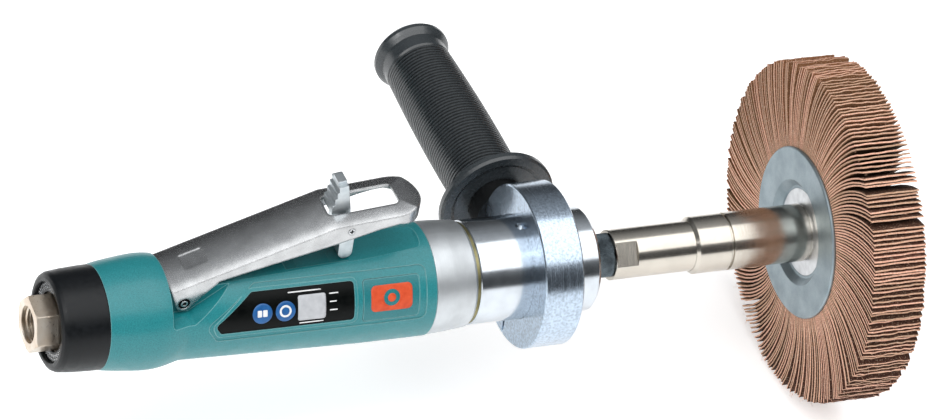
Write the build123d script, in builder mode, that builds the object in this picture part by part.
from build123d import *
from math import acos, cos, pi, radians, sin, sqrt, tan
import os

# A straight-line air grinder with a flap wheel and a side handle. Millimetres.
# +X runs along the tool from the air inlet to the wheel, +Z is the lever side,
# +Y is the side the handle points to. The origin is the centre of the inlet's face.

# ---- driving sizes -------------------------------------------------------------------
# lengths along the tool axis
cap_setback = 8.3             # the cap starts this far in front of the inlet face
cap_length = 20.7
housing_length = 148.0
clamp_ring_length = 20.0
gasket_width = 1.4
gear_case_length = 56.6
lock_nut_length = 11.6
arbor_shank_length = 39.3
arbor_shoulder_length = 15.2
tube_joint_gap = 1.2
spacer_tube_length = 36.9
wheel_width = 25.4
wheel_diameter = 152.4

# motor
motor_radius = 17.5
cylinder_bore = 14.6
bore_offset = 1.0
rotor_gap = 0.2               # between the rotor and the bore where they come closest
rotor_radius = cylinder_bore - bore_offset - rotor_gap
rotor_shaft_radius = 4.0
motor_bearing_radius = 9.5
motor_bearing_width = 6.0
end_plate_thickness = 9.2
cylinder_length = 48.0
vane_count = 5
vane_thickness = 1.6
vane_depth = 6.6

# radii of the body, built out from the motor inside it
rear_radius = motor_radius + 5.1
bulge_radius = motor_radius + 7.4
waist_radius = motor_radius + 5.05

# planetary gears
gear_module = 0.8
sun_teeth = 12
planet_teeth = 15
ring_teeth = sun_teeth + 2 * planet_teeth
planet_count = 3
pressure_angle = radians(25)
tooth_height = 0.8            # above the pitch circle, in modules
tooth_root = 1.05             # below the pitch circle, in modules
flank_gap = 0.09              # taken off each flank of the outer toothed gears
ring_wall = 1.5
gear_case_wall = 3.6
planet_width = 11.0
planet_pin_radius = 2.5

# spindle and arbor
spindle_radius = 8.5
spindle_thread_radius = 7.9
spindle_bearing_radius = 17.5
spindle_bearing_width = 10.0
bearing_spacing = 10.0
shank_radius = 11.1
tube_radius = 12.7
arbor_core_radius = 8.0
lock_nut_flats = 19.0
shank_flats = 19.4
flats_length = 10.0

# wheel
flange_radius = 38.1
flange_sheet = 1.5
washer_radius = 19.3
flange_step_radius = 23.0
flange_dish = 3.0
core_radius = 24.0

# handle
collar_width = 18.0
collar_radius = 35.9
grip_base_radius = 16.3
grip_tip_radius = 15.2
guard_radius = 26.3
grip_start = 41.3             # from the tool axis
grip_end = 150.0
stud_radius = 5.0

# lever
lever_half_width = 13.2
lever_sheet = 1.5
lever_crown = 2.2
lever_slope = 19.8            # degrees, the long rear stretch
lever_pin_radius = 1.6
lock_pin_radius = 1.5
ear_seat_radius = 2.7
ear_seat_depth = 0.7
mark_depth = 0.5                # of the pressed mark in the lever
running_gap = 0.06            # radial, between a pin and the hole that turns on it

# ---- stations along the axis -----------------------------------------------------------
cap_x = cap_setback
housing_x = cap_x + cap_length
ring_x = housing_x + housing_length
gasket_x = ring_x + clamp_ring_length
case_x = gasket_x + gasket_width
case_end = case_x + gear_case_length
nut_x = case_end + 0.6
shank_x = nut_x + lock_nut_length
shoulder_x = shank_x + arbor_shank_length
tube_x = shoulder_x + arbor_shoulder_length + tube_joint_gap
tube_end = tube_x + spacer_tube_length
washer_x = tube_end + 0.8
wheel_x = washer_x - flange_dish + flange_sheet
wheel_end = wheel_x + wheel_width


# ---- motor and gear stations -------------------------------------------------------------
inlet_bore_radius = 8.05
inlet_bore_length = 18.0
hex_flats = 22.2
hex_length = 13.0
shank_bush_radius = 10.2
shank_bush_length = 29.0
air_passage_radius = 5.5
recess_radius = rear_radius - 5.2
cap_spigot_radius = rear_radius - 3.0
cap_spigot_length = 10.0
motor_x = housing_x + 71
cylinder_x = motor_x + end_plate_thickness
front_plate_x = cylinder_x + cylinder_length
stack_end = front_plate_x + end_plate_thickness
sleeve_radius = motor_radius - 2
pitch_sun = gear_module * sun_teeth / 2
pitch_planet = gear_module * planet_teeth / 2
pitch_ring = gear_module * ring_teeth / 2
planet_orbit = pitch_sun + pitch_planet
ring_gear_radius = pitch_ring + gear_module * tooth_root + ring_wall
gear_case_radius = ring_gear_radius + gear_case_wall
spigot_radius = ring_gear_radius + 1.75
thread_radius = max(motor_radius + 3.45, spigot_radius + 0.06)
panel_radius = thread_radius + 3.75
front_radius = thread_radius + 3.85
spigot_x = gasket_x - 11
thrust_x = case_x - 4
sun_length = planet_width + 3
planet_x = case_x + 1.0
carrier_x = planet_x + planet_width + 0.6
carrier_thickness = 5.5
carrier_radius = planet_orbit + planet_pin_radius + 2.2
rear_race_x = carrier_x + carrier_thickness + 1.0
front_race_x = rear_race_x + spindle_bearing_width + bearing_spacing
seal_x = front_race_x + spindle_bearing_width + 0.4
collar_x = case_x + 24.5
handle_x = collar_x + collar_width / 2

# ---- lever stations ----------------------------------------------------------------------
lever_pin_x = housing_x + 35
flat_rear_z = motor_radius + 1.8
lever_pin_z = flat_rear_z - 6.3
lever_ear_radius = 4.0
lever_top = 6.7               # from the pin up to the sheet's underside, square to the sheet
lever_bend = 72.0             # from the pin to the bend, along the sheet
lever_front_slope = 5.5
lever_nose_length = 14.5
lever_front_length = 28.0
lock_pin_x = lever_pin_x + 71.7
lock_pin_z = lever_pin_z + 29.3
window_half_width = 6.5
foot_half_width = 7.5
valve_x = lever_pin_x + 24
valve_stem_radius = 2.2
valve_chamber_radius = 5.4
valve_sleeve_radius = 6.0
flat_rear_x = housing_x + 27.5
saddle_drop = 2.0             # extra depth under the lever's rear end
flat_rise = 0.0393            # the flat under the lever climbs this much per millimetre
flat_front_x = ring_x - 6


def flat_z(x):
    """Height of the housing's flat top under the lever."""
    return flat_rear_z + flat_rise * (x - flat_rear_x)


def polar(radius, angle):
    """A point in the plane of a gear, angle in radians."""
    return (radius * cos(angle), radius * sin(angle))


def involute_angle(base, radius):
    """How far an involute from the base circle has turned at this radius."""
    if radius <= base:
        return 0.0
    return sqrt((radius / base) ** 2 - 1) - acos(base / radius)


def gear_outline(teeth, tip, root, slack):
    """Points round a spur gear with a tooth on its first axis; slack thins each flank."""
    pitch = gear_module * teeth / 2
    base = pitch * cos(pressure_angle)
    half = pi / (2 * teeth) - slack / pitch + involute_angle(base, pitch)
    steps = 4
    flank = [root + (tip - root) * i / steps for i in range(steps + 1)]
    points = []
    for tooth in range(teeth):
        middle = 2 * pi * tooth / teeth
        for radius in flank:
            points.append(polar(radius, middle - half + involute_angle(base, radius)))
        for radius in reversed(flank):
            points.append(polar(radius, middle + half - involute_angle(base, radius)))
    return points


def tangent_plane(angle):
    """A plane through the axis whose normal leans from +Z towards -Y by the angle."""
    lean = radians(angle)
    return Plane(origin=(0, 0, 0), x_dir=(1, 0, 0), z_dir=(0, -sin(lean), cos(lean)))


def across(x):
    """The plane square to the tool axis at x, its own x along +Y and its y along +Z."""
    return Plane(origin=(x, 0, 0), x_dir=(0, 1, 0), z_dir=(1, 0, 0))


os.makedirs("parts", exist_ok=True)

# ==== inlet end =================================================================================

# hex inlet bushing, threaded into the housing
with BuildPart() as inlet_bushing:
    with BuildSketch(across(0)):
        RegularPolygon(hex_flats / 2, 6, major_radius=False, rotation=8)
    extrude(amount=hex_length)
    with BuildSketch(Plane.XZ):
        with BuildLine():
            Polyline(
                (0, 0),
                (0, hex_flats / 2 + 0.7),
                (0.9, hex_flats / 2 + 2.5),
                (hex_length, hex_flats / 2 + 2.5),
                (hex_length, 0),
                close=True,
            )
        make_face()
    revolve(axis=Axis.X, mode=Mode.INTERSECT)
    with BuildSketch(across(hex_length)):
        Circle(shank_bush_radius)
    extrude(amount=shank_bush_length)
    with BuildSketch(across(0)):
        Circle(inlet_bore_radius)
    extrude(amount=inlet_bore_length, mode=Mode.SUBTRACT)
    with BuildSketch(across(inlet_bore_length)):
        Circle(air_passage_radius)
    extrude(amount=hex_length + shank_bush_length - inlet_bore_length, mode=Mode.SUBTRACT)
inlet_bushing.part.label = "inlet_bushing"
export_step(inlet_bushing.part, "parts/inlet_bushing.step")

# dished strainer at the bottom of the inlet thread
with BuildPart() as inlet_screen:
    with BuildSketch(across(inlet_bore_length)):
        Circle(air_passage_radius)
    extrude(amount=1.0)
    with BuildSketch(across(inlet_bore_length)):
        with GridLocations(2.2, 2.2, 3, 3):
            Circle(0.7)
    extrude(amount=1.0, mode=Mode.SUBTRACT)
inlet_screen.part.label = "inlet_screen"
export_step(inlet_screen.part, "parts/inlet_screen.step")

# soft exhaust cap round the tail
with BuildPart() as exhaust_cap:
    with BuildSketch(Plane.XZ):
        with BuildLine():
            Polyline(
                (cap_x + 7.5, recess_radius),
                (cap_x + 0.4, recess_radius),
                (cap_x, recess_radius + 0.4),
                (cap_x, rear_radius - 3.3),
                (cap_x + 0.8, rear_radius - 1.9),
                (cap_x + 2.4, rear_radius - 1.1),
                (cap_x + 8.0, rear_radius - 0.5),
                (cap_x + cap_length * 0.8, rear_radius - 0.1),
                (housing_x, rear_radius - 0.05),
                (housing_x, cap_spigot_radius),
                (housing_x - cap_spigot_length, cap_spigot_radius),
                (housing_x - cap_spigot_length, recess_radius),
                close=True,
            )
        make_face()
    revolve(axis=Axis.X)
exhaust_cap.part.label = "exhaust_cap"
export_step(exhaust_cap.part, "parts/exhaust_cap.step")

# perforated ring that lets the exhaust air out round the inlet
diffuser_x = cap_x + 2.0
diffuser_thickness = 1.4
diffuser_inner = hex_flats / 2 + 1.9
diffuser_hole_radius = 0.5
diffuser_hole_rows = ((14.6, 40, 0), (16.3, 48, 4))
with BuildPart() as exhaust_diffuser:
    with BuildSketch(across(diffuser_x)):
        Circle(recess_radius)
        Circle(diffuser_inner, mode=Mode.SUBTRACT)
    extrude(amount=diffuser_thickness)
    for row_radius, holes, start in diffuser_hole_rows:
        with BuildSketch(across(diffuser_x)):
            with PolarLocations(row_radius, holes, start_angle=start):
                Circle(diffuser_hole_radius)
        extrude(amount=diffuser_thickness, mode=Mode.SUBTRACT)
exhaust_diffuser.part.label = "exhaust_diffuser"
export_step(exhaust_diffuser.part, "parts/exhaust_diffuser.step")

# felt silencer behind the diffuser
felt_x = diffuser_x + diffuser_thickness + 0.2
with BuildPart() as muffler_felt:
    with BuildSketch(across(felt_x)):
        Circle(recess_radius - 0.1)
        Circle(diffuser_inner, mode=Mode.SUBTRACT)
    extrude(amount=housing_x - cap_spigot_length - felt_x - 0.3)
muffler_felt.part.label = "muffler_felt"
export_step(muffler_felt.part, "parts/muffler_felt.step")

# ==== housing ===================================================================================

bulge_x = housing_x + 23.5
waist_x = housing_x + 37
panel_x = housing_x + 118
panel_taper = (panel_radius - waist_radius) / (panel_x - waist_x)
panel_angle = 63.5
plate_recess = 0.8
plate_thickness = 0.6
plate_x = housing_x + 47.5
plate_length = 62.3
plate_half_height = 8.4
badge_x = plate_x + plate_length + 4.2
badge_length = 26.0
badge_low = -10.2
field_step = 0.35
field_top = 11.9


def body_radius(x):
    """Radius of the housing's conical panel stretch."""
    return min(waist_radius + panel_taper * (x - waist_x), panel_radius + 0.02)


def plate_corners(grow):
    """Nameplate outline on the panel, pointed at the rear, grown by this much all round."""
    left = plate_x - grow
    right = plate_x + plate_length + grow
    top = plate_half_height + grow
    return [
        (left + 2.6, -plate_half_height - grow),
        (left, -plate_half_height + 3.4),
        (left + 16.5, top),
        (right, top),
        (right, -plate_half_height - grow),
    ]


# what the nameplate's recess takes out of the housing
with BuildPart() as plate_pocket:
    with BuildSketch(tangent_plane(panel_angle)):
        with BuildLine():
            Polyline(*plate_corners(0.15), close=True)
        face = make_face()
        fillet(face.vertices(), 1.6)
    extrude(amount=bulge_radius + 5)
    with BuildSketch(Plane.XZ):
        with BuildLine():
            Polyline(
                (waist_x, body_radius(waist_x) - plate_recess),
                (waist_x, body_radius(waist_x) + 3),
                (ring_x, body_radius(ring_x) + 3),
                (panel_x, body_radius(panel_x) - plate_recess),
                close=True,
            )
        make_face()
    revolve(axis=Axis.X, mode=Mode.INTERSECT)

# what the badge's recess takes out of the housing
with BuildPart() as badge_pocket:
    with BuildSketch(tangent_plane(panel_angle)):
        with Locations((badge_x + badge_length / 2, (plate_half_height + badge_low) / 2)):
            RectangleRounded(badge_length, plate_half_height - badge_low, 1.6)
    extrude(amount=bulge_radius + 5)
    with BuildSketch(Plane.XZ):
        with BuildLine():
            Polyline(
                (plate_x, panel_radius - plate_recess),
                (plate_x, panel_radius + 3),
                (ring_x, panel_radius + 3),
                (ring_x, panel_radius - plate_recess),
                close=True,
            )
        make_face()
    revolve(axis=Axis.X, mode=Mode.INTERSECT)

# a shallow field round both plates, down to where the label border starts
with BuildPart() as panel_field:
    with BuildSketch(tangent_plane(panel_angle)):
        with BuildLine():
            Polyline(
                (plate_x + 18, field_top),
                (badge_x + badge_length + 3.2, field_top),
                (badge_x + badge_length + 3.2, -field_top),
                (plate_x + 1.0, -field_top),
                (plate_x - 4.4, -plate_half_height + 3.4),
                close=True,
            )
        face = make_face()
        fillet(face.vertices(), 3.0)
    extrude(amount=bulge_radius + 5)
    with BuildSketch(Plane.XZ):
        with BuildLine():
            Polyline(
                (waist_x, body_radius(waist_x) - field_step),
                (waist_x, body_radius(waist_x) + 3),
                (ring_x, body_radius(ring_x) + 3),
                (ring_x, body_radius(ring_x) - field_step),
                (panel_x, body_radius(panel_x) - field_step),
                close=True,
            )
        make_face()
    revolve(axis=Axis.X, mode=Mode.INTERSECT)

# the raised border left standing round the nameplate
with BuildPart() as plate_border:
    with BuildSketch(tangent_plane(panel_angle)):
        with BuildLine():
            Polyline(*plate_corners(1.6), close=True)
        face = make_face()
        fillet(face.vertices(), 2.6)
    extrude(amount=bulge_radius + 5)

exhaust_angles = (-75, -40, 40, 75)   # from straight down
exhaust_distance = motor_radius - 3.2
exhaust_radius = 2.4
exhaust_port_radius = 2.0
valve_chamber_foot = -17.0
valve_sleeve_foot = 7.0
motor_feed_z = 3.5
motor_feed_radius = 2.6


def exhaust_place(angle):
    """Where an exhaust passage runs, in the plane across the tool."""
    return (exhaust_distance * sin(radians(angle)), -exhaust_distance * cos(radians(angle)))


relief_depth = 3.4
relief_rear_x = lock_pin_x - 25
relief_front_x = lock_pin_x + 4.2
relief_half_width = foot_half_width + 0.9
ear_pocket_y = lever_half_width - lever_sheet - 0.35

with BuildPart() as housing:
    with BuildSketch(Plane.XZ):
        with BuildLine():
            Line((housing_x, 0), (housing_x, rear_radius))
            flank = Spline(
                (housing_x, rear_radius),
                (housing_x + 11, (rear_radius + 2 * bulge_radius) / 3 + 0.1),
                (bulge_x, bulge_radius),
                (waist_x - 6, (waist_radius + bulge_radius) / 2 - 0.1),
                (waist_x, waist_radius),
                tangents=((1, 0.24), (1, panel_taper)),
            )
            Polyline(flank @ 1, (panel_x, panel_radius), (ring_x, front_radius), (ring_x, 0), (housing_x, 0))
        make_face()
    revolve(axis=Axis.X)
    # spigot that the cap is pushed over
    with BuildSketch(across(housing_x - cap_spigot_length)):
        Circle(cap_spigot_radius)
    extrude(amount=cap_spigot_length + 1)
    # threads and air way on the axis
    with BuildSketch(across(housing_x - cap_spigot_length)):
        Circle(shank_bush_radius)
    extrude(amount=hex_length + shank_bush_length - housing_x + cap_spigot_length, mode=Mode.SUBTRACT)
    with BuildSketch(across(hex_length + shank_bush_length - 1)):
        Circle(air_passage_radius)
    extrude(amount=valve_x - hex_length - shank_bush_length + 1, mode=Mode.SUBTRACT)
    # valve chamber, square to the axis, and its way on to the motor
    with BuildSketch(Plane.XY.offset(valve_chamber_foot)):
        with Locations((valve_x, 0)):
            Circle(valve_chamber_radius)
    extrude(amount=valve_sleeve_foot - valve_chamber_foot, mode=Mode.SUBTRACT)
    with BuildSketch(Plane.XY.offset(valve_sleeve_foot)):
        with Locations((valve_x, 0)):
            Circle(valve_sleeve_radius)
    extrude(amount=bulge_radius, mode=Mode.SUBTRACT)
    with BuildSketch(across(valve_x)):
        with Locations((0, motor_feed_z)):
            Circle(motor_feed_radius)
    extrude(amount=motor_x - valve_x + 1, mode=Mode.SUBTRACT)
    # motor bore and the thread for the clamp ring
    with BuildSketch(across(motor_x)):
        Circle(motor_radius)
    extrude(amount=stack_end - motor_x, mode=Mode.SUBTRACT)
    with BuildSketch(across(stack_end)):
        Circle(thread_radius)
    extrude(amount=ring_x - stack_end, mode=Mode.SUBTRACT)
    # four exhaust passages from the motor back to the silencer
    for angle in exhaust_angles:
        with BuildSketch(across(housing_x - cap_spigot_length)):
            with Locations(exhaust_place(angle)):
                Circle(exhaust_radius)
        extrude(amount=motor_x - housing_x + cap_spigot_length + 1, mode=Mode.SUBTRACT)
    # flat top under the lever, with a run-out at the front
    with BuildSketch(Plane.XZ):
        with BuildLine():
            Polyline(
                (flat_front_x + 3.2, bulge_radius + 15),
                (flat_rear_x, bulge_radius + 15),
                (flat_rear_x, flat_rear_z - saddle_drop),
                (flat_rear_x + 8, flat_z(flat_rear_x + 8)),
                (flat_front_x, flat_z(flat_front_x)),
            )
            ThreePointArc(
                (flat_front_x, flat_z(flat_front_x)),
                (flat_front_x + 2.3, flat_z(flat_front_x) + 0.9),
                (flat_front_x + 3.2, flat_z(flat_front_x) + 3.2),
            )
            Line((flat_front_x + 3.2, flat_z(flat_front_x) + 3.2), (flat_front_x + 3.2, bulge_radius + 15))
        make_face()
    extrude(amount=bulge_radius + 5, both=True, mode=Mode.SUBTRACT)
    # pockets at the sides for the lever's ears
    for side in (-1, 1):
        with BuildSketch(Plane.XZ.offset(side * ear_pocket_y)):
            with BuildLine():
                Polyline(
                    (flat_rear_x, bulge_radius + 5),
                    (flat_rear_x, lever_pin_z - lever_ear_radius - 1.6),
                    (lever_pin_x + 3, lever_pin_z - lever_ear_radius - 1.6),
                    (lever_pin_x + 21, bulge_radius - 4),
                    (lever_pin_x + 30, bulge_radius + 5),
                    close=True,
                )
            face = make_face()
            fillet(face.vertices(), 2.0)
        extrude(amount=side * 20, mode=Mode.SUBTRACT)
    # relief that the lock lever's foot swings through
    with BuildSketch(Plane.XZ):
        with BuildLine():
            Polyline(
                (relief_rear_x, flat_z(relief_rear_x) + 2),
                (relief_rear_x, flat_z(relief_rear_x) - relief_depth + 1.6),
                (relief_rear_x + 7, flat_z(relief_rear_x) - relief_depth),
                (relief_front_x - 7.2, flat_z(relief_front_x) - relief_depth),
                (relief_front_x, flat_z(relief_front_x)),
                (relief_front_x, flat_z(relief_front_x) + 2),
                close=True,
            )
        make_face()
    extrude(amount=relief_half_width, both=True, mode=Mode.SUBTRACT)
    # hole for the lever's pivot pin
    with BuildSketch(Plane.XZ):
        with Locations((lever_pin_x, lever_pin_z)):
            Circle(lever_pin_radius)
    extrude(amount=bulge_radius, both=True, mode=Mode.SUBTRACT)
    # panel on the near side
    add(panel_field.part - plate_border.part, mode=Mode.SUBTRACT)
    add(plate_pocket.part, mode=Mode.SUBTRACT)
    add(badge_pocket.part, mode=Mode.SUBTRACT)
housing.part.label = "housing"
export_step(housing.part, "parts/housing.step")

# nameplate and badge, thin plates bent to the housing
with BuildPart() as nameplate:
    with BuildSketch(tangent_plane(panel_angle)):
        with BuildLine():
            Polyline(*plate_corners(0), close=True)
        face = make_face()
        fillet(face.vertices(), 1.5)
    extrude(amount=bulge_radius + 5)
    with BuildSketch(Plane.XZ):
        with BuildLine():
            Polyline(
                (waist_x, body_radius(waist_x) - plate_recess),
                (waist_x, body_radius(waist_x) - plate_recess + plate_thickness),
                (panel_x, body_radius(panel_x) - plate_recess + plate_thickness),
                (panel_x, body_radius(panel_x) - plate_recess),
                close=True,
            )
        make_face()
    revolve(axis=Axis.X, mode=Mode.INTERSECT)
nameplate.part.label = "nameplate"
export_step(nameplate.part, "parts/nameplate.step")

with BuildPart() as badge_plate:
    with BuildSketch(tangent_plane(panel_angle)):
        with Locations((badge_x + badge_length / 2, (plate_half_height + badge_low) / 2)):
            RectangleRounded(badge_length - 0.3, plate_half_height - badge_low - 0.3, 1.5)
    extrude(amount=bulge_radius + 5)
    with BuildSketch(Plane.XZ):
        with BuildLine():
            Polyline(
                (plate_x, panel_radius - plate_recess),
                (plate_x, panel_radius - plate_recess + plate_thickness),
                (ring_x, panel_radius - plate_recess + plate_thickness),
                (ring_x, panel_radius - plate_recess),
                close=True,
            )
        make_face()
    revolve(axis=Axis.X, mode=Mode.INTERSECT)
badge_plate.part.label = "badge_plate"
export_step(badge_plate.part, "parts/badge_plate.step")

# ==== throttle valve ============================================================================

valve_sleeve_top = flat_z(valve_x) - 0.8
valve_head_z = 2.0
valve_head_height = 2.7
valve_spring_radius = 3.2
stem_reach = valve_x - lever_pin_x
slope = radians(lever_slope)
under_lever_z = lever_pin_z + (lever_top + lever_crown + stem_reach * sin(slope)) / cos(slope)
valve_stem_top = under_lever_z - 0.6

with BuildPart() as valve_bushing:
    with BuildSketch(Plane.XY.offset(valve_sleeve_foot)):
        with Locations((valve_x, 0)):
            Circle(valve_sleeve_radius)
            Circle(valve_stem_radius + running_gap, mode=Mode.SUBTRACT)
    extrude(amount=valve_sleeve_top - valve_sleeve_foot)
valve_bushing.part.label = "valve_bushing"
export_step(valve_bushing.part, "parts/valve_bushing.step")

# rubber seat that the valve's head closes against
with BuildPart() as valve_seat:
    with BuildSketch(Plane.XY.offset(valve_head_z + valve_head_height)):
        with Locations((valve_x, 0)):
            Circle(valve_chamber_radius)
            Circle(valve_stem_radius + 0.8, mode=Mode.SUBTRACT)
    extrude(amount=valve_sleeve_foot - valve_head_z - valve_head_height)
valve_seat.part.label = "valve_seat"
export_step(valve_seat.part, "parts/valve_seat.step")

with BuildPart() as valve_stem:
    with BuildSketch(Plane.XY.offset(valve_head_z)):
        with Locations((valve_x, 0)):
            Circle(valve_stem_radius)
    extrude(amount=valve_stem_top - valve_head_z)
    dome_edge = valve_stem.edges().group_by(Axis.Z)[-1]
    fillet(dome_edge, valve_stem_radius * 0.6)
    with BuildSketch(Plane.XY.offset(valve_head_z)):
        with Locations((valve_x, 0)):
            Circle(valve_chamber_radius - 0.9)
    extrude(amount=valve_head_height - 0.2)
    with BuildSketch(Plane.XY.offset(valve_head_z - 5)):
        with Locations((valve_x, 0)):
            Circle(1.6)
    extrude(amount=5)
valve_stem.part.label = "valve_stem"
export_step(valve_stem.part, "parts/valve_stem.step")

# coil spring under the valve's head
spring_wire = 0.45
spring_turns = 6
with BuildPart() as valve_spring:
    spring_height = valve_head_z - valve_chamber_foot - 2 * spring_wire - 0.1
    with BuildLine(Plane.XY):
        coil = Helix(
            pitch=spring_height / spring_turns,
            height=spring_height,
            radius=valve_spring_radius,
            center=(valve_x, 0, valve_chamber_foot + spring_wire + 0.05),
        )
    with BuildSketch(Plane(origin=coil @ 0, z_dir=coil % 0)):
        Circle(spring_wire)
    sweep()
valve_spring.part.label = "valve_spring"
export_step(valve_spring.part, "parts/valve_spring.step")

# ==== lever group ===============================================================================


def along_lever(distance, height):
    """A point by its distance from the pin along the sheet and its height above the pin."""
    slope = radians(lever_slope)
    return (
        lever_pin_x + distance * cos(slope) - height * sin(slope),
        lever_pin_z + distance * sin(slope) + height * cos(slope),
    )


def beyond_bend(distance, height):
    """A point on the front stretch: distance from the bend, height above its edge line."""
    slope = radians(lever_front_slope)
    start = along_lever(lever_bend, lever_top + lever_sheet)
    return (
        start[0] + distance * cos(slope) - height * sin(slope),
        start[1] + distance * sin(slope) + height * cos(slope),
    )


lever_rear = -3.9
crown_radius = (lever_half_width**2 + lever_crown**2) / (2 * lever_crown)
nose_root = lever_front_length
nose_fall = 2.6               # how far the rounded nose falls over its run
nose_run = 18.0
nose_swell = 0.8
nose_tip = beyond_bend(nose_root + lever_nose_length, 0)
window_x = lock_pin_x - 8.6
window_length = 32.0


# outside of the lever as a solid block: crowned, bent once, with a rounded nose
lever_blocks = []
for inset in (0, lever_sheet):
    half_width = lever_half_width - inset
    rear_start = along_lever(lever_rear - 1 - inset * 9, lever_top + lever_sheet - inset)
    front = radians(lever_front_slope)
    rear_plane = Plane(
        origin=(rear_start[0], 0, rear_start[1]),
        x_dir=(0, 1, 0),
        z_dir=(cos(slope), 0, sin(slope)),
    )
    front_start = beyond_bend(-30, -inset)
    front_plane = Plane(
        origin=(front_start[0], 0, front_start[1]),
        x_dir=(0, 1, 0),
        z_dir=(cos(front), 0, sin(front)),
    )
    bend = along_lever(lever_bend, lever_top + lever_sheet)
    miter = (slope + front) / 2
    with BuildPart() as rear_stretch:
        with BuildSketch(rear_plane):
            with BuildLine():
                ThreePointArc((-half_width, 0), (0, lever_crown), (half_width, 0))
                Polyline((half_width, 0), (half_width, -40), (-half_width, -40), (-half_width, 0))
            make_face()
        extrude(amount=lever_bend + 40)
        split(bisect_by=Plane(origin=(bend[0], 0, bend[1]), z_dir=(-cos(miter), 0, -sin(miter))))
    with BuildPart() as front_stretch:
        with BuildSketch(front_plane):
            with BuildLine():
                ThreePointArc((-half_width, 0), (0, lever_crown), (half_width, 0))
                Polyline((half_width, 0), (half_width, -40), (-half_width, -40), (-half_width, 0))
            make_face()
        extrude(amount=90)
        split(bisect_by=Plane(origin=(bend[0], 0, bend[1]), z_dir=(cos(miter), 0, sin(miter))))
        # the nose rounds over and down past the crease
        crease = beyond_bend(nose_root, lever_crown - inset)
        with BuildSketch(Plane.XZ):
            with BuildLine():
                ThreePointArc(
                    crease,
                    (crease[0] + nose_run / 2, crease[1] - nose_fall / 2 + nose_swell),
                    (crease[0] + nose_run, crease[1] - nose_fall),
                )
                Polyline(
                    (crease[0] + nose_run, crease[1] - nose_fall),
                    (crease[0] + nose_run, crease[1] + nose_run),
                    (crease[0], crease[1] + nose_run),
                    crease,
                )
            make_face()
        extrude(amount=40, both=True, mode=Mode.SUBTRACT)
        # rounded nose seen from above
        with BuildSketch(Plane.XY):
            with BuildLine():
                nose_x = beyond_bend(nose_root, 0)[0] + 1.0
                reach = lever_nose_length - 2.0 - inset
                EllipticalCenterArc((nose_x, 0), reach, half_width, start_angle=-90, arc_size=180)
                Polyline((nose_x, half_width), (0, half_width), (0, -half_width), (nose_x, -half_width))
            make_face()
        extrude(amount=90, both=True, mode=Mode.INTERSECT)
    lever_blocks.append(rear_stretch.part + front_stretch.part)

ear_low = lever_pin_z - lever_ear_radius
with BuildPart() as throttle_lever:
    add(lever_blocks[0])
    add(lever_blocks[1], mode=Mode.SUBTRACT)
    # side outline: ears at the pin, then a flange that tapers out to the nose
    with BuildSketch(Plane.XZ):
        with BuildLine():
            Polyline(
                along_lever(lever_rear, lever_top + 20),
                along_lever(lever_rear, 0.5),
                (lever_pin_x - 2.6, ear_low + 0.9),
                (lever_pin_x, ear_low),
                (lever_pin_x + 2.2, ear_low + 0.7),
                (lever_pin_x + 6.5, lever_pin_z + 1.8),
                (lever_pin_x + 14.5, lever_pin_z + 10.0),
                (lever_pin_x + 28, lever_pin_z + 13.6),
                (lock_pin_x - 5, lock_pin_z - 6.0),
                (lock_pin_x + 13, lock_pin_z - 0.7),
                (lock_pin_x + 22, lock_pin_z + 1.2),
                (nose_tip[0] - 6, nose_tip[1] - 7.0),
                (nose_tip[0] + 2, nose_tip[1] - 6.4),
                (nose_tip[0] + 2, nose_tip[1] + 20),
                close=True,
            )
        make_face()
    extrude(amount=lever_half_width + 1, both=True, mode=Mode.INTERSECT)
    # window that the lock lever comes up through
    with BuildSketch(Plane.XY.offset(lock_pin_z - 4)):
        with Locations((window_x + window_length / 2, 0)):
            RectangleRounded(window_length, 2 * window_half_width, 2.6)
    extrude(amount=25, mode=Mode.SUBTRACT)
    # pin holes
    with BuildSketch(Plane.XZ):
        with Locations((lever_pin_x, lever_pin_z)):
            Circle(lever_pin_radius + running_gap)
        with Locations((lock_pin_x, lock_pin_z)):
            Circle(lock_pin_radius)
    extrude(amount=lever_half_width + 1, both=True, mode=Mode.SUBTRACT)
    # dished seats round the pivot pin's ends
    for side in (-1, 1):
        with BuildSketch(Plane.XZ.offset(side * (lever_half_width - ear_seat_depth))):
            with Locations((lever_pin_x, lever_pin_z)):
                Circle(ear_seat_radius)
        extrude(amount=side * 2, mode=Mode.SUBTRACT)
    # pressed mark on the sheet
    mark_x, mark_z = along_lever(5.6, lever_top + lever_sheet + lever_crown)
    with BuildSketch(Plane(origin=(mark_x, 0, mark_z - mark_depth), x_dir=(cos(slope), 0, sin(slope)),
                           z_dir=(-sin(slope), 0, cos(slope)))):
        with Locations((5.2, 0)):
            RectangleRounded(10.4, 9.0, 0.6)
    extrude(amount=4, mode=Mode.SUBTRACT)
throttle_lever.part.label = "throttle_lever"
export_step(throttle_lever.part, "parts/throttle_lever.step")

with BuildPart() as lever_pivot_pin:
    with BuildSketch(Plane.XZ):
        with Locations((lever_pin_x, lever_pin_z)):
            Circle(lever_pin_radius)
            Circle(lever_pin_radius - 0.7, mode=Mode.SUBTRACT)
    extrude(amount=lever_half_width + 0.2, both=True)
lever_pivot_pin.part.label = "lever_pivot_pin"
export_step(lever_pivot_pin.part, "parts/lever_pivot_pin.step")

with BuildPart() as lock_pin:
    with BuildSketch(Plane.XZ):
        with Locations((lock_pin_x, lock_pin_z)):
            Circle(lock_pin_radius)
    extrude(amount=lever_half_width + 0.15, both=True)
lock_pin.part.label = "lock_pin"
export_step(lock_pin.part, "parts/lock_pin.step")

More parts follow.
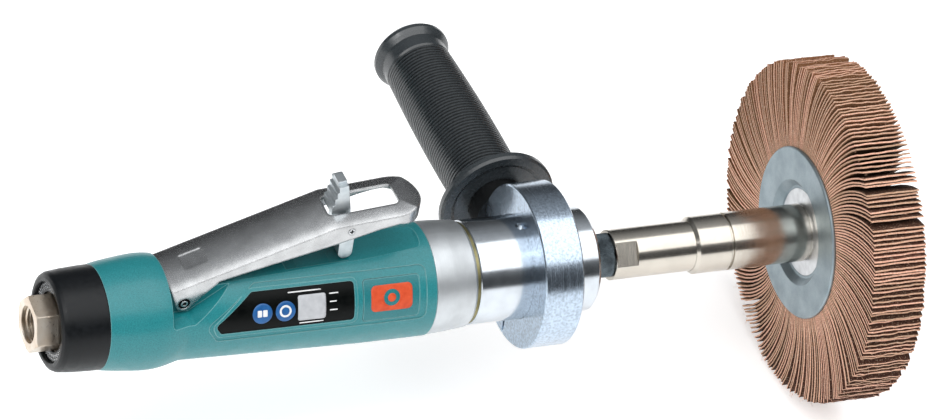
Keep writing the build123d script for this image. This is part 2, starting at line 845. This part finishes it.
# lock lever: a wide foot under the pin, a narrower serrated thumb tab above it
tab_half_width = 5.0
foot_reach = lock_pin_z - flat_z(lock_pin_x) - 0.55
foot_round = 3.2
eye_radius = 2.3
foot_lean = 1.6
with BuildPart() as lock_lever:
    with BuildSketch(Plane.XZ):
        with BuildLine():
            foot_x = lock_pin_x + foot_lean
            foot_z = lock_pin_z - foot_reach + foot_round
            Polyline(
                (foot_x + foot_round, foot_z),
                (foot_x + foot_round - 0.4, lock_pin_z - 3.0),
                (lock_pin_x + eye_radius, lock_pin_z),
            )
            ThreePointArc(
                (lock_pin_x + eye_radius, lock_pin_z),
                (lock_pin_x, lock_pin_z + eye_radius),
                (lock_pin_x - eye_radius, lock_pin_z),
            )
            Polyline((lock_pin_x - eye_radius, lock_pin_z), (foot_x - foot_round, foot_z))
            ThreePointArc(
                (foot_x - foot_round, foot_z),
                (foot_x, foot_z - foot_round),
                (foot_x + foot_round, foot_z),
            )
        make_face()
    extrude(amount=foot_half_width, both=True)
    with BuildSketch(Plane.XZ):
        with BuildLine():
            Polyline(
                (lock_pin_x + 2.2, lock_pin_z + 0.5),
                (lock_pin_x + 1.4, lock_pin_z + 6.0),
                (lock_pin_x - 1.3, lock_pin_z + 18.6),
                (lock_pin_x - 5.4, lock_pin_z + 17.9),
                (lock_pin_x - 5.0, lock_pin_z + 15.2),
                (lock_pin_x - 5.9, lock_pin_z + 14.8),
                (lock_pin_x - 5.5, lock_pin_z + 12.0),
                (lock_pin_x - 6.5, lock_pin_z + 11.5),
                (lock_pin_x - 6.1, lock_pin_z + 8.6),
                (lock_pin_x - 7.2, lock_pin_z + 8.0),
                (lock_pin_x - 6.9, lock_pin_z + 3.8),
                (lock_pin_x - 2.4, lock_pin_z - 0.5),
                close=True,
            )
        make_face()
    extrude(amount=tab_half_width, both=True)
    with BuildSketch(Plane.XZ):
        with BuildLine():
            Polyline(
                (lock_pin_x - 1.2, lock_pin_z + 17.0),
                (lock_pin_x - 1.8, lock_pin_z + 20.2),
                (lock_pin_x - 5.6, lock_pin_z + 19.6),
                (lock_pin_x - 5.2, lock_pin_z + 17.0),
                close=True,
            )
        make_face()
    extrude(amount=tab_half_width - 1.9, both=True)
    with BuildSketch(Plane.XZ):
        with Locations((lock_pin_x, lock_pin_z)):
            Circle(lock_pin_radius + running_gap)
    extrude(amount=foot_half_width, both=True, mode=Mode.SUBTRACT)
lock_lever.part.label = "lock_lever"
export_step(lock_lever.part, "parts/lock_lever.step")

# spring wound on the lock pin, between the foot and the lever's side
with BuildPart() as lock_spring:
    lock_wire = 0.3
    with BuildLine():
        coil = Helix(
            pitch=0.85,
            height=2.1,
            radius=1.95,
            center=(lock_pin_x, foot_half_width + 0.6, lock_pin_z),
            direction=(0, 1, 0),
        )
    with BuildSketch(Plane(origin=coil @ 0, z_dir=coil % 0)):
        Circle(lock_wire)
    sweep()
lock_spring.part.label = "lock_spring"
export_step(lock_spring.part, "parts/lock_spring.step")

# ==== air motor =================================================================================

shaft_front = planet_x + planet_width + 0.2

with BuildPart() as motor_rear_plate:
    with BuildSketch(across(motor_x)):
        Circle(motor_radius)
    extrude(amount=end_plate_thickness)
    with BuildSketch(across(motor_x)):
        Circle(motor_bearing_radius)
    extrude(amount=motor_bearing_width + 0.3, mode=Mode.SUBTRACT)
    with BuildSketch(across(motor_x)):
        Circle(rotor_shaft_radius + 1)
        for angle in exhaust_angles:
            with Locations(exhaust_place(angle)):
                Circle(exhaust_port_radius)
    extrude(amount=end_plate_thickness, mode=Mode.SUBTRACT)
motor_rear_plate.part.label = "motor_rear_plate"
export_step(motor_rear_plate.part, "parts/motor_rear_plate.step")

# liner with its bore set off centre, so the rotor nearly touches it at the top
with BuildPart() as motor_cylinder:
    with BuildSketch(across(cylinder_x)):
        Circle(motor_radius)
        with Locations((0, -bore_offset)):
            Circle(cylinder_bore, mode=Mode.SUBTRACT)
    extrude(amount=cylinder_length)
    with BuildSketch(Plane.XY.offset(-motor_radius)):
        with Locations((cylinder_x + cylinder_length / 2, 0)):
            with GridLocations(6, 4, 6, 2):
                Circle(1.2)
    extrude(amount=8, mode=Mode.SUBTRACT)
motor_cylinder.part.label = "motor_cylinder"
export_step(motor_cylinder.part, "parts/motor_cylinder.step")

with BuildPart() as rotor:
    with BuildSketch(across(cylinder_x + 0.3)):
        Circle(rotor_radius)
        with PolarLocations(rotor_radius - vane_depth / 2, vane_count, start_angle=90):
            Rectangle(vane_depth + 1, vane_thickness, mode=Mode.SUBTRACT)
    extrude(amount=cylinder_length - 0.6)
    with BuildSketch(across(motor_x + 0.8)):
        Circle(rotor_shaft_radius)
    extrude(amount=case_x - motor_x - 0.8)
    with BuildSketch(across(case_x)):
        Circle(rotor_shaft_radius - 1.6)
    extrude(amount=shaft_front - case_x)
rotor.part.label = "rotor"
export_step(rotor.part, "parts/rotor.step")

# vanes, as a set of loose blades in the rotor's slots
with BuildPart() as vanes:
    with BuildSketch(across(cylinder_x + 0.5)):
        with PolarLocations(rotor_radius - vane_depth / 2, vane_count, start_angle=90):
            Rectangle(vane_depth - 0.2, vane_thickness - 0.2)
    extrude(amount=cylinder_length - 1.0)
vanes.part.label = "vanes"
export_step(vanes.part, "parts/vanes.step")

with BuildPart() as motor_front_plate:
    with BuildSketch(across(front_plate_x)):
        Circle(motor_radius)
        Circle(rotor_shaft_radius + 1, mode=Mode.SUBTRACT)
    extrude(amount=end_plate_thickness)
    with BuildSketch(across(stack_end - motor_bearing_width - 0.3)):
        Circle(motor_bearing_radius)
    extrude(amount=motor_bearing_width + 0.3, mode=Mode.SUBTRACT)
motor_front_plate.part.label = "motor_front_plate"
export_step(motor_front_plate.part, "parts/motor_front_plate.step")

# ball bearings: the outer race stays still, the inner race carries the balls round
bearings = (
    ("rear_rotor_bearing", motor_x, motor_bearing_width, rotor_shaft_radius, motor_bearing_radius),
    ("front_rotor_bearing", stack_end - motor_bearing_width, motor_bearing_width,
     rotor_shaft_radius, motor_bearing_radius),
    ("rear_spindle_bearing", rear_race_x, spindle_bearing_width, spindle_radius,
     spindle_bearing_radius),
    ("front_spindle_bearing", front_race_x, spindle_bearing_width, spindle_radius,
     spindle_bearing_radius),
)
for name, start, width, inner, outer in bearings:
    gap = outer - inner
    race = 0.3 * gap
    pitch = (inner + outer) / 2
    ball = 0.27 * gap
    groove = ball + 0.05
    with BuildPart() as outer_race:
        with BuildSketch(across(start)):
            Circle(outer)
            Circle(outer - race, mode=Mode.SUBTRACT)
        extrude(amount=width)
        with BuildSketch(Plane.XZ):
            with Locations((start + width / 2, pitch)):
                Circle(groove)
        revolve(axis=Axis.X, mode=Mode.SUBTRACT)
    outer_race.part.label = name + "_outer"
    export_step(outer_race.part, "parts/" + name + "_outer.step")
    with BuildPart() as inner_race:
        with BuildSketch(across(start)):
            Circle(inner + race)
            Circle(inner, mode=Mode.SUBTRACT)
        extrude(amount=width)
        with BuildSketch(Plane.XZ):
            with Locations((start + width / 2, pitch)):
                Circle(ball)
        revolve(axis=Axis.X, mode=Mode.SUBTRACT)
        with Locations(across(start + width / 2)):
            with PolarLocations(pitch, 8):
                Sphere(ball)
    inner_race.part.label = name + "_inner"
    export_step(inner_race.part, "parts/" + name + "_inner.step")

# ==== clamp ring, gasket and gear case ==========================================================

clamp_wall = 3.6
clamp_front_radius = spigot_radius + 2.3
with BuildPart() as clamp_ring:
    with BuildSketch(Plane.XZ):
        with BuildLine():
            Polyline(
                (stack_end, sleeve_radius),
                (stack_end, thread_radius),
                (ring_x, thread_radius),
                (ring_x, thread_radius + clamp_wall - 0.3),
                (ring_x + 0.4, thread_radius + clamp_wall + 0.05),
                (ring_x + clamp_ring_length * 0.45, thread_radius + clamp_wall - 0.35),
                (gasket_x - 1.2, clamp_front_radius + 0.1),
                (gasket_x, clamp_front_radius - 0.9),
                (gasket_x, spigot_radius),
                (spigot_x, spigot_radius),
                (spigot_x, sleeve_radius),
                close=True,
            )
        make_face()
    revolve(axis=Axis.X)
clamp_ring.part.label = "clamp_ring"
export_step(clamp_ring.part, "parts/clamp_ring.step")

with BuildPart() as gasket_ring:
    with BuildSketch(across(gasket_x)):
        Circle(clamp_front_radius - 1.0)
        Circle(spigot_radius, mode=Mode.SUBTRACT)
    extrude(amount=gasket_width)
gasket_ring.part.label = "gasket_ring"
export_step(gasket_ring.part, "parts/gasket_ring.step")

seal_radius = spindle_bearing_radius - 3.5
lip_x = front_race_x + spindle_bearing_width
with BuildPart() as gear_case:
    with BuildSketch(Plane.XZ):
        with BuildLine():
            Polyline(
                (spigot_x, ring_gear_radius),
                (spigot_x, spigot_radius),
                (case_x, spigot_radius),
                (case_x, gear_case_radius - 0.5),
                (case_x + 0.5, gear_case_radius),
                (case_end - 1.4, gear_case_radius),
                (case_end, gear_case_radius - 1.4),
                (case_end, seal_radius),
                (lip_x, seal_radius),
                (lip_x, spindle_bearing_radius),
                (rear_race_x - 0.5, spindle_bearing_radius),
                (rear_race_x - 0.5, ring_gear_radius),
                close=True,
            )
        make_face()
    revolve(axis=Axis.X)
    # pin-spanner hole behind the collar
    with BuildSketch(Plane.XY.offset(gear_case_radius - 2.5).rotated((7, 0, 0))):
        with Locations((collar_x - 1.0, 0)):
            Circle(2.0)
    extrude(amount=6, mode=Mode.SUBTRACT)
gear_case.part.label = "gear_case"
export_step(gear_case.part, "parts/gear_case.step")

with BuildPart() as thrust_plate:
    with BuildSketch(across(thrust_x)):
        Circle(ring_gear_radius)
        Circle(pitch_sun + gear_module + 1.2, mode=Mode.SUBTRACT)
    extrude(amount=case_x - thrust_x)
thrust_plate.part.label = "thrust_plate"
export_step(thrust_plate.part, "parts/thrust_plate.step")

# ==== planetary gears ===========================================================================

with BuildPart() as sun_pinion:
    with BuildSketch(across(case_x)):
        with BuildLine():
            Polyline(
                *gear_outline(
                    sun_teeth,
                    pitch_sun + gear_module * tooth_height,
                    pitch_sun - gear_module * tooth_root,
                    flank_gap,
                ),
                close=True,
            )
        make_face()
        Circle(rotor_shaft_radius - 1.6, mode=Mode.SUBTRACT)
    extrude(amount=shaft_front - case_x)
sun_pinion.part.label = "sun_pinion"
export_step(sun_pinion.part, "parts/sun_pinion.step")

with BuildPart() as ring_gear:
    with BuildSketch(across(case_x)):
        Circle(ring_gear_radius)
        with BuildLine():
            Polyline(
                *gear_outline(
                    ring_teeth,
                    pitch_ring + gear_module * tooth_root,
                    pitch_ring - gear_module * tooth_height,
                    -0.04,
                ),
                close=True,
            )
        make_face(mode=Mode.SUBTRACT)
    extrude(amount=planet_width + 1.4)
ring_gear.part.label = "ring_gear"
export_step(ring_gear.part, "parts/ring_gear.step")

for number in range(planet_count):
    turn = 360 * number / planet_count
    centre = polar(planet_orbit, radians(turn))
    seat = Plane(
        origin=(planet_x, centre[0], centre[1]),
        x_dir=(0, cos(radians(turn)), sin(radians(turn))),
        z_dir=(1, 0, 0),
    )
    with BuildPart() as planet_gear:
        with BuildSketch(seat):
            with BuildLine():
                Polyline(
                    *gear_outline(
                        planet_teeth,
                        pitch_planet + gear_module * tooth_height,
                        pitch_planet - gear_module * tooth_root,
                        flank_gap,
                    ),
                    close=True,
                )
            make_face()
            Circle(planet_pin_radius + running_gap, mode=Mode.SUBTRACT)
        extrude(amount=planet_width)
    planet_gear.part.label = "planet_gear_" + str(number + 1)
    export_step(planet_gear.part, "parts/planet_gear_" + str(number + 1) + ".step")

with BuildPart() as planet_pins:
    with BuildSketch(across(planet_x)):
        with PolarLocations(planet_orbit, planet_count):
            Circle(planet_pin_radius)
    extrude(amount=carrier_x + carrier_thickness - planet_x)
planet_pins.part.label = "planet_pins"
export_step(planet_pins.part, "parts/planet_pins.step")

# ==== output spindle ============================================================================

with BuildPart() as carrier_spindle:
    with BuildSketch(across(carrier_x)):
        Circle(carrier_radius)
        with PolarLocations(planet_orbit, planet_count):
            Circle(planet_pin_radius, mode=Mode.SUBTRACT)
    extrude(amount=carrier_thickness)
    with BuildSketch(across(carrier_x + carrier_thickness)):
        Circle(spindle_radius + 1.5)
    extrude(amount=rear_race_x - carrier_x - carrier_thickness)
    with BuildSketch(across(rear_race_x)):
        Circle(spindle_radius)
    extrude(amount=case_end + 0.4 - rear_race_x)
    with BuildSketch(across(case_end)):
        Circle(spindle_thread_radius)
    extrude(amount=shank_x + 18 - case_end)
carrier_spindle.part.label = "carrier_spindle"
export_step(carrier_spindle.part, "parts/carrier_spindle.step")

with BuildPart() as bearing_spacer:
    with BuildSketch(across(rear_race_x + spindle_bearing_width)):
        Circle(spindle_bearing_radius)
        Circle(spindle_bearing_radius - 2.5, mode=Mode.SUBTRACT)
    extrude(amount=bearing_spacing)
bearing_spacer.part.label = "bearing_spacer"
export_step(bearing_spacer.part, "parts/bearing_spacer.step")

with BuildPart() as shaft_seal:
    with BuildSketch(across(seal_x)):
        Circle(seal_radius)
        Circle(spindle_radius + 0.08, mode=Mode.SUBTRACT)
    extrude(amount=case_end - 0.6 - seal_x)
shaft_seal.part.label = "shaft_seal"
export_step(shaft_seal.part, "parts/shaft_seal.step")

with BuildPart() as lock_nut:
    with BuildSketch(across(nut_x)):
        RegularPolygon(lock_nut_flats / 2, 6, major_radius=False, rotation=16)
    extrude(amount=lock_nut_length)
    nut_corner = lock_nut_flats / 2 / cos(pi / 6)
    with BuildSketch(Plane.XZ):
        with BuildLine():
            Polyline(
                (nut_x, 0),
                (nut_x, nut_corner - 0.3),
                (nut_x + 0.6, nut_corner + 0.1),
                (shank_x - 1.3, nut_corner + 0.1),
                (shank_x, nut_corner - 1.4),
                (shank_x, 0),
                close=True,
            )
        make_face()
    revolve(axis=Axis.X, mode=Mode.INTERSECT)
    with BuildSketch(across(nut_x)):
        Circle(spindle_thread_radius)
    extrude(amount=lock_nut_length, mode=Mode.SUBTRACT)
lock_nut.part.label = "lock_nut"
export_step(lock_nut.part, "parts/lock_nut.step")

# ==== extension arbor ===========================================================================

flats_lean = 51.6
with BuildPart() as arbor_adapter:
    with BuildSketch(Plane.XZ):
        with BuildLine():
            Polyline(
                (shank_x, spindle_thread_radius),
                (shank_x, shank_radius - 0.3),
                (shank_x + 0.3, shank_radius),
                (shoulder_x - 1.4, shank_radius),
                (shoulder_x - 1.4, tube_radius - 1.3),
                (shoulder_x, tube_radius),
                (tube_x - tube_joint_gap, tube_radius),
                (tube_x - tube_joint_gap, tube_radius - 0.8),
                (tube_x, tube_radius - 0.8),
                (tube_x, arbor_core_radius),
                (shank_x + 21, arbor_core_radius),
                (shank_x + 21, 0),
                (shank_x + 18, 0),
                (shank_x + 18, spindle_thread_radius),
                close=True,
            )
        make_face()
    revolve(axis=Axis.X)
    # two wrench flats
    for side in (0, 180):
        with BuildSketch(tangent_plane(flats_lean + side).offset(shank_flats / 2)):
            with Locations((shank_x + 0.4 + flats_length / 2, 0)):
                Rectangle(flats_length, 2 * shank_radius)
        extrude(amount=tube_radius, mode=Mode.SUBTRACT)
arbor_adapter.part.label = "arbor_adapter"
export_step(arbor_adapter.part, "parts/arbor_adapter.step")

with BuildPart() as spacer_tube:
    with BuildSketch(Plane.XZ):
        with BuildLine():
            Polyline(
                (tube_x, arbor_core_radius),
                (tube_x, tube_radius),
                (tube_end - 0.6, tube_radius),
                (tube_end, tube_radius - 0.6),
                (tube_end, arbor_core_radius),
                close=True,
            )
        make_face()
    revolve(axis=Axis.X)
spacer_tube.part.label = "spacer_tube"
export_step(spacer_tube.part, "parts/spacer_tube.step")

# ==== flap wheel ================================================================================

nut_height = 8.5
end_nut_flats = 22.2
washer_thickness = 1.6
far_washer_x = wheel_end - flange_sheet + flange_dish - washer_thickness - 2 * (flange_dish - flange_sheet)
hub_neck_radius = tube_radius - 0.9

with BuildPart() as arbor_shaft:
    with BuildSketch(across(shank_x + 21.2)):
        Circle(arbor_core_radius)
    extrude(amount=far_washer_x + washer_thickness + nut_height + 1.6 - shank_x - 21.2)
    chamfer(arbor_shaft.faces().sort_by(Axis.X)[-1].edges(), 1.0)
    with BuildSketch(across(tube_end)):
        Circle(hub_neck_radius)
    extrude(amount=far_washer_x - 0.6 - tube_end)
arbor_shaft.part.label = "arbor_shaft"
export_step(arbor_shaft.part, "parts/arbor_shaft.step")

# washers inside the dish of each flange
for name, start in (("wheel_washer_rear", washer_x), ("wheel_washer_front", far_washer_x)):
    with BuildPart() as wheel_washer:
        with BuildSketch(across(start)):
            Circle(washer_radius)
            Circle(hub_neck_radius if start == washer_x else arbor_core_radius, mode=Mode.SUBTRACT)
        extrude(amount=washer_thickness)
    wheel_washer.part.label = name
    export_step(wheel_washer.part, "parts/" + name + ".step")

# pressed sheet flanges, dished in towards the hub
for name, face_x, out in (("wheel_flange_rear", wheel_x, -1), ("wheel_flange_front", wheel_end, 1)):
    with BuildPart() as wheel_flange:
        with BuildSketch(Plane.XZ):
            with BuildLine():
                dish = out * (flange_sheet - flange_dish)
                Polyline(
                    (face_x, flange_radius),
                    (face_x + out * (flange_sheet - 0.6), flange_radius),
                    (face_x + out * flange_sheet, flange_radius - 0.6),
                    (face_x + out * flange_sheet, flange_step_radius + 0.6),
                    (face_x + dish, washer_radius + 1.2),
                    (face_x + dish, washer_radius + 0.05),
                    (face_x + dish - out * flange_sheet, washer_radius + 0.05),
                    (face_x + dish - out * flange_sheet, washer_radius + 1.6),
                    (face_x, flange_step_radius + 1.0),
                    close=True,
                )
            make_face()
        revolve(axis=Axis.X)
    wheel_flange.part.label = name
    export_step(wheel_flange.part, "parts/" + name + ".step")

core_x = washer_x + washer_thickness
with BuildPart() as wheel_core:
    with BuildSketch(across(core_x)):
        Circle(washer_radius)
        Circle(hub_neck_radius, mode=Mode.SUBTRACT)
    extrude(amount=far_washer_x - core_x)
wheel_core.part.label = "wheel_core"
export_step(wheel_core.part, "parts/wheel_core.step")

# the pack of flaps as one soft ring
with BuildPart() as flap_pack:
    with BuildSketch(across(wheel_x)):
        Circle(wheel_diameter / 2)
        Circle(flange_step_radius + 1.6, mode=Mode.SUBTRACT)
    extrude(amount=wheel_width)
flap_pack.part.label = "flap_pack"
export_step(flap_pack.part, "parts/flap_pack.step")

with BuildPart() as arbor_nut:
    with BuildSketch(across(far_washer_x + washer_thickness)):
        RegularPolygon(end_nut_flats / 2, 6, major_radius=False)
        Circle(arbor_core_radius, mode=Mode.SUBTRACT)
    extrude(amount=nut_height)
arbor_nut.part.label = "arbor_nut"
export_step(arbor_nut.part, "parts/arbor_nut.step")

# ==== side handle ===============================================================================


def beside(y):
    """A plane square to the handle at this distance from the tool axis."""
    return Plane(origin=(handle_x, y, 0), x_dir=(1, 0, 0), z_dir=(0, 1, 0))


slit_width = 1.6
slit_angle = 176.0            # from +Z towards -Y
screw_distance = collar_radius - 5.8
screw_radius = 2.0
screw_head_radius = 3.5
slit = tangent_plane(slit_angle)
screw_seat = Plane(
    origin=slit.from_local_coords((handle_x, -7.5, screw_distance)),
    x_dir=(1, 0, 0),
    z_dir=-slit.y_dir,
)
neck_radius = 12.8
stud_depth = 9.0
neck_start = 34.0

with BuildPart() as handle_collar:
    with BuildSketch(across(collar_x)):
        Circle(collar_radius)
        Circle(gear_case_radius + 0.05, mode=Mode.SUBTRACT)
    extrude(amount=collar_width)
    chamfer(handle_collar.edges().filter_by(GeomType.CIRCLE).sort_by(SortBy.RADIUS)[-2:], 0.6)
    # slit, and the stepped hole for the screw that closes it
    with BuildSketch(slit):
        with Locations((handle_x, 0)):
            Rectangle(collar_width, slit_width)
    extrude(amount=collar_radius + 2, mode=Mode.SUBTRACT)
    with BuildSketch(screw_seat):
        Circle(screw_radius + 0.05)
    extrude(amount=-16, mode=Mode.SUBTRACT)
    with BuildSketch(screw_seat):
        Circle(screw_head_radius + 0.3)
    extrude(amount=12, mode=Mode.SUBTRACT)
    # seat and tapped hole for the handle
    with BuildSketch(beside(collar_radius - stud_depth)):
        Circle(stud_radius)
    extrude(amount=stud_depth + 1, mode=Mode.SUBTRACT)
    with BuildSketch(beside(neck_start)):
        Circle(neck_radius)
    extrude(amount=6, mode=Mode.SUBTRACT)
handle_collar.part.label = "handle_collar"
export_step(handle_collar.part, "parts/handle_collar.step")

with BuildPart() as collar_screw:
    with BuildSketch(screw_seat):
        Circle(screw_radius)
    extrude(amount=-15.5)
    with BuildSketch(screw_seat):
        Circle(screw_head_radius)
    extrude(amount=4)
    with BuildSketch(screw_seat.offset(4)):
        RegularPolygon(1.5, 6)
    extrude(amount=-2, mode=Mode.SUBTRACT)
collar_screw.part.label = "collar_screw"
export_step(collar_screw.part, "parts/collar_screw.step")

with BuildPart() as handle_stud:
    with BuildSketch(beside(collar_radius - stud_depth)):
        Circle(stud_radius)
    extrude(amount=grip_end - 18 - collar_radius + stud_depth)
handle_stud.part.label = "handle_stud"
export_step(handle_stud.part, "parts/handle_stud.step")

with BuildPart() as handle_neck:
    with BuildSketch(beside(neck_start)):
        Circle(neck_radius)
        Circle(stud_radius, mode=Mode.SUBTRACT)
    extrude(amount=grip_start + 1.5 - neck_start)
handle_neck.part.label = "handle_neck"
export_step(handle_neck.part, "parts/handle_neck.step")

# rubber grip with a dished guard at its root and a bead at its tip
rib_pitch = 1.85
rib_depth = 0.85
grip_swell = 0.8
ribs_start = grip_start + 9.5
ribs_end = grip_end - 14.0
tip_bead_radius = 17.4
rib_total = int((ribs_end - ribs_start) / rib_pitch)


def grip_radius(y):
    """Radius of the grip's ribs, tapering a little to the tip and fuller in the middle."""
    share = (y - ribs_start) / (ribs_end - ribs_start)
    return grip_base_radius + (grip_tip_radius - grip_base_radius) * share + grip_swell * sin(pi * share)


def beside_point(distance, radius):
    """A point of the grip's outline: distance from the tool axis, radius from the grip's axis."""
    return (handle_x + radius, distance)


with BuildPart() as handle_grip:
    outline = [
        beside_point(grip_start + 1.5, stud_radius),
        beside_point(grip_start + 1.5, guard_radius - 6.5),
        beside_point(grip_start, guard_radius - 4.5),
        beside_point(grip_start, guard_radius - 1.0),
        beside_point(grip_start + 1.0, guard_radius),
        beside_point(grip_start + 3.4, guard_radius),
        beside_point(grip_start + 4.6, guard_radius - 1.2),
        beside_point(grip_start + 5.6, grip_base_radius + 2.2),
        beside_point(grip_start + 7.4, grip_base_radius + 0.2),
    ]
    for rib in range(rib_total):
        rib_y = ribs_start + rib * rib_pitch
        crest = grip_radius(rib_y)
        outline.append(beside_point(rib_y, crest - rib_depth))
        outline.append(beside_point(rib_y + 0.3 * rib_pitch, crest))
        outline.append(beside_point(rib_y + 0.7 * rib_pitch, crest))
    outline += [
        beside_point(ribs_end, grip_tip_radius - rib_depth),
        beside_point(ribs_end + 1, grip_tip_radius),
        beside_point(grip_end - 6.5, grip_tip_radius),
        beside_point(grip_end - 5.0, tip_bead_radius - 0.9),
        beside_point(grip_end - 3.6, tip_bead_radius),
        beside_point(grip_end - 1.8, tip_bead_radius),
        beside_point(grip_end - 0.6, tip_bead_radius - 0.8),
        beside_point(grip_end, tip_bead_radius - 3.0),
        beside_point(grip_end, 0),
        beside_point(grip_end - 18, 0),
        beside_point(grip_end - 18, stud_radius),
    ]
    with BuildSketch(Plane.XY):
        with BuildLine():
            Polyline(*outline, close=True)
        make_face()
    revolve(axis=Axis((handle_x, 0, 0), (0, 1, 0)))
handle_grip.part.label = "handle_grip"
export_step(handle_grip.part, "parts/handle_grip.step")
